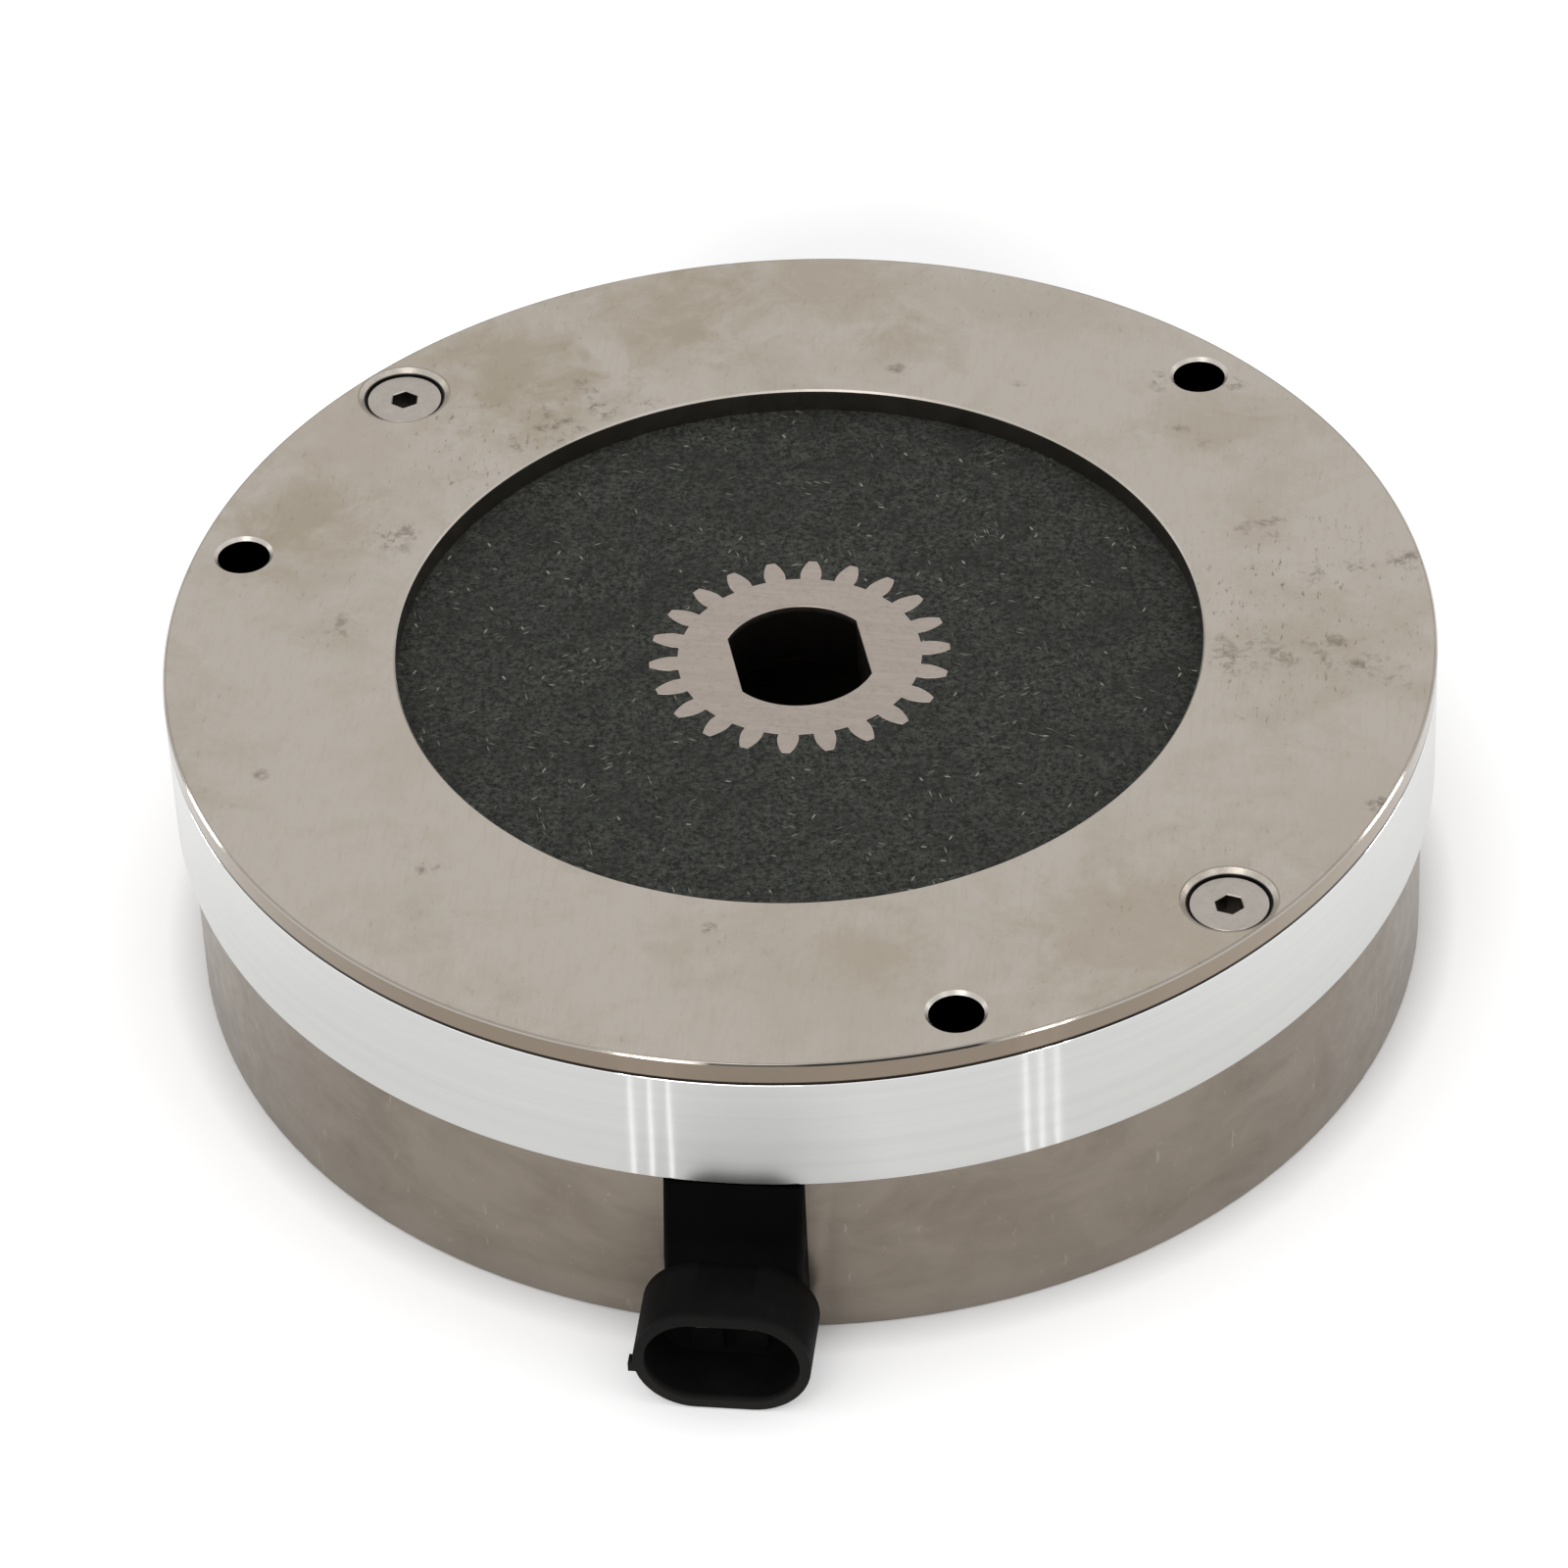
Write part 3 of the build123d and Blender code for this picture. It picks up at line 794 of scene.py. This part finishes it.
def screw_steel():
    """Bright plated steel, with painted shade in the hex sockets."""
    c = colours()
    f = Finish("screw_steel", c.steel, metallic=1.0, roughness=0.32)
    grain = f.noise(2400.0, detail=4.0, roughness=0.7)
    cloud = f.noise(500.0, detail=3.0, roughness=0.6)
    shade = f.mix(f.span(grain, 0.5, 0.72, 0.0, 0.35), c.steel, c.plate_side)
    shade = f.mix(f.span(cloud, 0.45, 0.7, 0.0, 0.3), shade, c.bare_edge)
    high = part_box("flange_screw_1")[1].z
    deep = f.span(f.along("Z"), high - 80 * MICRON, high - 200 * MICRON)
    # Painted shade inside the hex sockets
    sockets = f.any_of([f.about(spot, 0.00165, 0.0018) for spot in screw_places()])
    f.colour_is(f.mix(f.times(sockets, f.times(deep, 0.72)), shade, c.shade))
    f.roughness_is(f.span(cloud, 0.3, 0.7, 0.28, 0.38))
    f.bump(grain, 20 * MICRON, 0.3)
    return f.material


def plain_plastic(name, base, roughness):
    """Plastic or resin with a faint mottle."""
    f = Finish(name, base, roughness=roughness)
    cloud = f.noise(350.0, detail=3.0, roughness=0.6)
    f.colour_is(f.mix(f.span(cloud, 0.35, 0.7), base, toned(base, 1.4)))
    return f.material


def wound_copper():
    """Enamelled wire laid in close turns, with painted shade in the grooves between them."""
    c = colours()
    f = Finish("wound_copper", c.copper, metallic=1.0, roughness=0.3)
    wave = f.add("ShaderNodeTexWave", wave_type="BANDS", bands_direction="Z")
    f.link(f.place, wave.inputs["Vector"])
    wave.inputs["Scale"].default_value = 620.0
    wave.inputs["Distortion"].default_value = 0.4
    # Darker in the grooves between the turns: painted shade
    f.colour_is(f.mix(wave.outputs["Fac"], toned(c.copper, 0.5), c.copper))
    f.bump(wave.outputs["Fac"], 100 * MICRON, 0.6)
    return f.material


class BRAKE_OT_flange_plate(bpy.types.Operator):
    """Flange plate with chamfered rim, bolt hole mouths and countersinks"""

    bl_idname = "brake.flange_plate"
    bl_label = "Flange plate"

    def execute(self, context):
        s = sizes()
        bm = bmesh.new()
        low, high = PLATE_LOW, PLATE_HIGH
        rim, bore = OUTER_RADIUS, s.plate_bore
        walls = [
            wall(bm, [(rim, low), (rim, high - s.rim_chamfer), (rim - s.rim_chamfer, high)]),
            wall(bm, [(bore, low), (bore, high - s.bore_chamfer), (bore + s.bore_chamfer, high)]),
        ]
        mouth = [(s.bolt_hole, low), (s.bolt_hole, high - s.bolt_mouth), (s.bolt_hole + s.bolt_mouth, high)]
        for spot in bolt_places():
            walls.append(wall(bm, mouth, spot, HOLE_STEPS))
        cone_foot = high - s.countersink + s.screw_hole
        sink = [(s.screw_hole, low), (s.screw_hole, cone_foot), (s.countersink, high)]
        for spot in screw_places():
            walls.append(wall(bm, sink, spot, HOLE_STEPS))
        close(bm, [bottom for bottom, top in walls])
        close(bm, [top for bottom, top in walls])
        piece(bm, "finished_plate", "stator", plate_nickel(), ["flange_plate"])
        return {"FINISHED"}


class BRAKE_OT_spacer_ring(bpy.types.Operator):
    """Turned spacer ring with broken edges"""

    bl_idname = "brake.spacer_ring"
    bl_label = "Spacer ring"

    def execute(self, context):
        s = sizes()
        bm = bmesh.new()
        low, high, edge = RING_LOW, RING_HIGH, s.edge_break
        outside = [
            (OUTER_RADIUS - edge, low),
            (OUTER_RADIUS, low + edge),
            (OUTER_RADIUS, high - edge),
            (OUTER_RADIUS - edge, high),
        ]
        walls = [wall(bm, outside), wall(bm, [(s.ring_bore, low), (s.ring_bore, high)])]
        for spot in bolt_places():
            walls.append(wall(bm, [(s.bolt_hole, low), (s.bolt_hole, high)], spot, HOLE_STEPS))
        for spot in screw_places():
            walls.append(wall(bm, [(s.screw_hole, low), (s.screw_hole, high)], spot, HOLE_STEPS))
        close(bm, [bottom for bottom, top in walls])
        close(bm, [top for bottom, top in walls])
        piece(bm, "finished_ring", "stator", turned_aluminium(), ["spacer_ring"])
        return {"FINISHED"}


class BRAKE_OT_magnet_body(bpy.types.Operator):
    """Magnet body with its lower edge rounded"""

    bl_idname = "brake.magnet_body"
    bl_label = "Magnet body"

    def execute(self, context):
        bm = cad_copy("magnet_body")
        near_floor = 10 * MICRON
        near_rim = MAGNET_RADIUS - 100 * MICRON
        foot = [
            edge
            for edge in bm.edges
            if all(vert.co.z < near_floor and vert.co.xy.length > near_rim for vert in edge.verts)
        ]
        soften(bm, foot, sizes().foot_round, 3)
        piece(bm, "finished_body", "stator", body_nickel(), ["magnet_body"], sharp=25.0)
        return {"FINISHED"}


class BRAKE_OT_screws(bpy.types.Operator):
    """Countersunk screws with hex sockets"""

    bl_idname = "brake.screws"
    bl_label = "Screws"

    def execute(self, context):
        s = sizes()
        finish = screw_steel()
        for number, spot in enumerate(screw_places(), 1):
            node = "flange_screw_" + str(number)
            low, high = (corner.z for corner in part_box(node))
            bm = bmesh.new()
            rim = high - s.screw_land
            neck = rim - (s.screw_head - s.screw_radius)
            shank = [
                (s.screw_radius * 0.8, low),
                (s.screw_radius, low + s.screw_radius * 0.2),
                (s.screw_radius, neck),
                (s.screw_head, rim),
                (s.screw_head, high - s.head_edge),
                (s.screw_head - s.head_edge, high),
            ]
            tip, face = wall(bm, shank, spot, HOLE_STEPS)
            turn = math.radians(HEX_TURNS[(number - 1) % len(HEX_TURNS)] - 90.0)
            socket = [
                (s.hex_radius, high - s.hex_depth),
                (s.hex_radius, high - s.hex_lead),
                (s.hex_radius + s.hex_lead, high),
            ]
            floor, mouth = wall(bm, socket, spot, HEX_SIDES, turn)
            close(bm, [tip])
            close(bm, [floor])
            close(bm, [face, mouth])
            piece(bm, "finished_screw_" + str(number), "stator", finish, [node])
        return {"FINISHED"}


class BRAKE_OT_connector(bpy.types.Operator):
    """Connector moulding with softened edges and tinned terminals"""

    bl_idname = "brake.connector"
    bl_label = "Connector"

    def execute(self, context):
        bm = cad_copy("connector_housing")
        shortest = 10 * MICRON
        edges = [
            edge
            for edge in bm.edges
            if edge.is_manifold and edge.calc_face_angle() > SHARP_ANGLE and edge.calc_length() > shortest
        ]
        soften(bm, edges, sizes().moulding_round, 2, clamp_overlap=True)
        finish = black_moulding()
        piece(bm, "finished_connector", "stator", finish, ["connector_housing"], sharp=35.0)
        dress(plain_metal("tinned_terminal", tuple(colours().tin), 0.3), "terminal_1", "terminal_2")
        return {"FINISHED"}


class BRAKE_OT_rotor(bpy.types.Operator):
    """Toothed hub with softened upper edges, and the lining's material"""

    bl_idname = "brake.rotor"
    bl_label = "Rotor"

    def execute(self, context):
        dress(lining_resin(), "friction_lining")
        bm = cad_copy("toothed_hub", joined=False)
        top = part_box("toothed_hub")[1].z - 10 * MICRON
        edges = [
            edge
            for edge in bm.edges
            if all(vert.co.z > top for vert in edge.verts) and edge.calc_face_angle(0.0) > SHARP_ANGLE
        ]
        soften(bm, edges, sizes().hub_edge, 1)
        piece(bm, "finished_hub", "rotor", machined_hub(), ["toothed_hub"], sharp=15.0)
        return {"FINISHED"}


class BRAKE_OT_inner_parts(bpy.types.Operator):
    """Materials of the armature plate, coil, springs, pins and leads"""

    bl_idname = "brake.inner_parts"
    bl_label = "Inner parts"

    def execute(self, context):
        c = colours()
        springs = ["brake_spring_" + str(n) for n in range(1, 7)]
        pins = ["guide_pin_" + str(n) for n in range(1, 4)]
        dress(plain_metal("ground_steel", tuple(c.ground_steel), 0.35), "armature_plate")
        dress(plain_metal("spring_steel", tuple(c.ground_steel), 0.25), *springs)
        dress(plain_metal("pin_steel", tuple(c.steel), 0.2), *pins)
        dress(wound_copper(), "coil_winding")
        dress(plain_plastic("cast_resin", tuple(c.resin), 0.4), "coil_potting")
        dress(plain_plastic("wire_cover", tuple(c.moulding), 0.5), "lead_wire_1", "lead_wire_2")
        return {"FINISHED"}


def add_light(name, ends, power, width, away=None):
    """Flat lamp that runs from one end to the other and faces the brake, or turns its back to a direction."""
    low, high = (Vector(end) for end in ends)
    data = bpy.data.lights.new(name, "AREA")
    data.shape = "RECTANGLE"
    data.size = width
    data.size_y = (high - low).length
    data.energy = power
    lamp = bpy.data.objects.new(name, data)
    middle = (low + high) / 2
    along = (high - low).normalized()
    across = along.cross(away or middle).normalized()
    turn = Matrix((across, along, across.cross(along))).transposed().to_4x4()
    lamp.matrix_world = Matrix.Translation(middle) @ turn
    lamp.visible_camera = False
    bpy.context.scene.collection.objects.link(lamp)


def sky_place(distance, round_it, rise):
    """Place at a distance from the brake, under an angle round it and above the floor, in degrees."""
    x, y = polar(distance * math.cos(math.radians(rise)), math.radians(round_it))
    return (x, y, distance * math.sin(math.radians(rise)))


def white_floor(lift, mirrored_lift):
    """Pale floor that keeps the shadow and is shown a little whiter than it is lit, with a dark disc under
    the brake as painted shadow and its lift shaped into painted shade and painted reflections.
    """
    c = colours()
    f = Finish("white_floor", c.floor, roughness=0.9)
    f.shader.inputs["Specular IOR Level"].default_value = 0.0
    mottle = f.noise(30.0, detail=2.0)
    pale = f.mix(f.span(mottle, 0.3, 0.7), c.floor, c.floor_pale)
    reach = f.from_axis()
    # A dark disc right under the brake: painted shadow, seen through its bore
    under = f.span(reach, MAGNET_RADIUS - 600 * MICRON, MAGNET_RADIUS - 1200 * MICRON)
    f.colour_is(f.mix(under, pale, c.floor_painted_shadow))

    # Seen by the camera: less lift close round the brake, so that its shadow stays, which also paints some
    # shade there, and a patch of less lift behind it that is a painted shadow
    halo = f.span(reach, MAGNET_RADIUS, 0.1, 0.55, 1.0)
    behind = f.span(f.near((-0.005, 0.097, 0.0), 0.062), 0.0, 0.9, 1.0, 0.1)
    seen = f.times(f.times(halo, behind), lift)

    # Mirrored in metal: more lift on either side of the brake, painted light in the reflections on the
    # metal's flanks, and none in front of the connector, a painted shadow in the reflections above it
    sideways = f.calculate("ABSOLUTE", f.along("X"))
    flank = f.span(sideways, 0.07, 0.105, mirrored_lift, mirrored_lift * 2.0)
    connector = f.span(f.near((0.0004, -0.083, 0.0), 0.023), 0.0, 0.8, 1.0, 0.0)
    reflected = f.times(flank, connector)

    path = f.add("ShaderNodeLightPath")
    mirrored = f.either(path.outputs["Is Glossy Ray"], path.outputs["Is Transmission Ray"])
    shown = f.either(f.times(path.outputs["Is Camera Ray"], seen), f.times(mirrored, reflected))
    # No lift under the brake, rising over 4 mm from its foot, which keeps the contact shadow and paints some
    # shade there
    beside = f.span(reach, MAGNET_RADIUS, MAGNET_RADIUS + 0.004)
    f.shader.inputs["Emission Color"].default_value = (1.0, 1.0, 1.0, 1.0)
    f.feed(f.shader.inputs["Emission Strength"], f.times(shown, beside))
    return f.material


def add_camera(lens):
    """Camera where the photograph was taken from."""
    data = bpy.data.cameras.new("camera")
    data.lens = lens
    data.sensor_width = SENSOR_WIDTH
    camera = bpy.data.objects.new("camera", data)
    right = Vector(CAMERA_RIGHT)
    back = right.cross(Vector(CAMERA_UP)).normalized()
    up = back.cross(right).normalized()
    turn = Matrix((right.normalized(), up, back)).transposed().to_4x4()
    camera.matrix_world = Matrix.Translation(CAMERA_PLACE) @ turn
    bpy.context.scene.collection.objects.link(camera)
    bpy.context.scene.camera = camera


def add_lights(stage):
    """Lamp over the camera, a small lamp on either side, thin tubes and the strips on the floor."""
    ends = [sky_place(LAMP_DISTANCE, *end) for end in FRONT_LAMP]
    add_light("front_lamp", ends, stage.lamp_power, FRONT_LAMP_WIDTH)
    for name, lamp in SIDE_LAMPS.items():
        ends = [sky_place(LAMP_DISTANCE, *end) for end in lamp]
        add_light(name, ends, stage.side_power, SIDE_LAMP_WIDTH)
    for number, angles in enumerate(TUBE_ANGLES, 1):
        ends = [sky_place(TUBE_DISTANCE, *end) for end in zip(angles, TUBE_RISES)]
        add_light("tube_" + str(number), ends, stage.tube_power, TUBE_WIDTH)
    down = Vector((0.0, 0.0, -1.0))
    for number, angles in enumerate(STRIP_ANGLES, 1):
        ends = [(*polar(far, math.radians(end)), STRIP_HEIGHT) for far, end in zip(STRIP_RADII, angles)]
        add_light("strip_" + str(number), ends, stage.strip_power, STRIP_WIDTH, away=down)


class BRAKE_OT_stage(bpy.types.Operator):
    """Camera, pale floor and soft light"""

    bl_idname = "brake.stage"
    bl_label = "Stage"

    def execute(self, context):
        scene = context.scene
        stage = scene.brake_stage
        add_camera(stage.lens)

        bm = bmesh.new()
        bmesh.ops.create_grid(bm, x_segments=8, y_segments=8, size=stage.floor_size)
        mesh = bpy.data.meshes.new("floor")
        bm.to_mesh(mesh)
        bm.free()
        mesh.materials.append(white_floor(stage.white_lift, stage.mirrored_lift))
        floor = bpy.data.objects.new("floor", mesh)
        scene.collection.objects.link(floor)

        world = bpy.data.worlds.new("soft_white")
        world.use_nodes = True
        background = world.node_tree.nodes["Background"]
        background.inputs["Color"].default_value = (1.0, 1.0, 1.0, 1.0)
        background.inputs["Strength"].default_value = stage.sky
        scene.world = world
        add_lights(stage)
        scene.view_settings.view_transform = "Standard"
        return {"FINISHED"}


OPERATORS = (
    BRAKE_OT_flange_plate,
    BRAKE_OT_spacer_ring,
    BRAKE_OT_magnet_body,
    BRAKE_OT_screws,
    BRAKE_OT_connector,
    BRAKE_OT_rotor,
    BRAKE_OT_inner_parts,
    BRAKE_OT_stage,
)


class BRAKE_PT_panel(bpy.types.Panel):
    """Lists the brake's pieces"""

    bl_idname = "BRAKE_PT_panel"
    bl_label = "Motor brake"
    bl_space_type = "VIEW_3D"
    bl_region_type = "UI"
    bl_category = "Motor brake"

    def draw(self, context):
        for operator in OPERATORS:
            self.layout.operator(operator.bl_idname)
        for group in (context.scene.brake_sizes, context.scene.brake_colours, context.scene.brake_stage):
            column = self.layout.column()
            for key in type(group).__annotations__:
                column.prop(group, key)


GROUPS = {"brake_sizes": BrakeSizes, "brake_colours": BrakeColours, "brake_stage": BrakeStage}


def register():
    for name, group in GROUPS.items():
        bpy.utils.register_class(group)
        setattr(bpy.types.Scene, name, PointerProperty(type=group))
    for item in (*OPERATORS, BRAKE_PT_panel):
        bpy.utils.register_class(item)


def unregister():
    for item in (BRAKE_PT_panel, *reversed(OPERATORS)):
        bpy.utils.unregister_class(item)
    for name, group in GROUPS.items():
        delattr(bpy.types.Scene, name)
        bpy.utils.unregister_class(group)


def main():
    register()
    bpy.ops.brake.flange_plate()
    bpy.ops.brake.spacer_ring()
    bpy.ops.brake.magnet_body()
    bpy.ops.brake.screws()
    bpy.ops.brake.connector()
    bpy.ops.brake.rotor()
    bpy.ops.brake.inner_parts()
    bpy.ops.brake.stage()


if __name__ == "__main__":
    main()
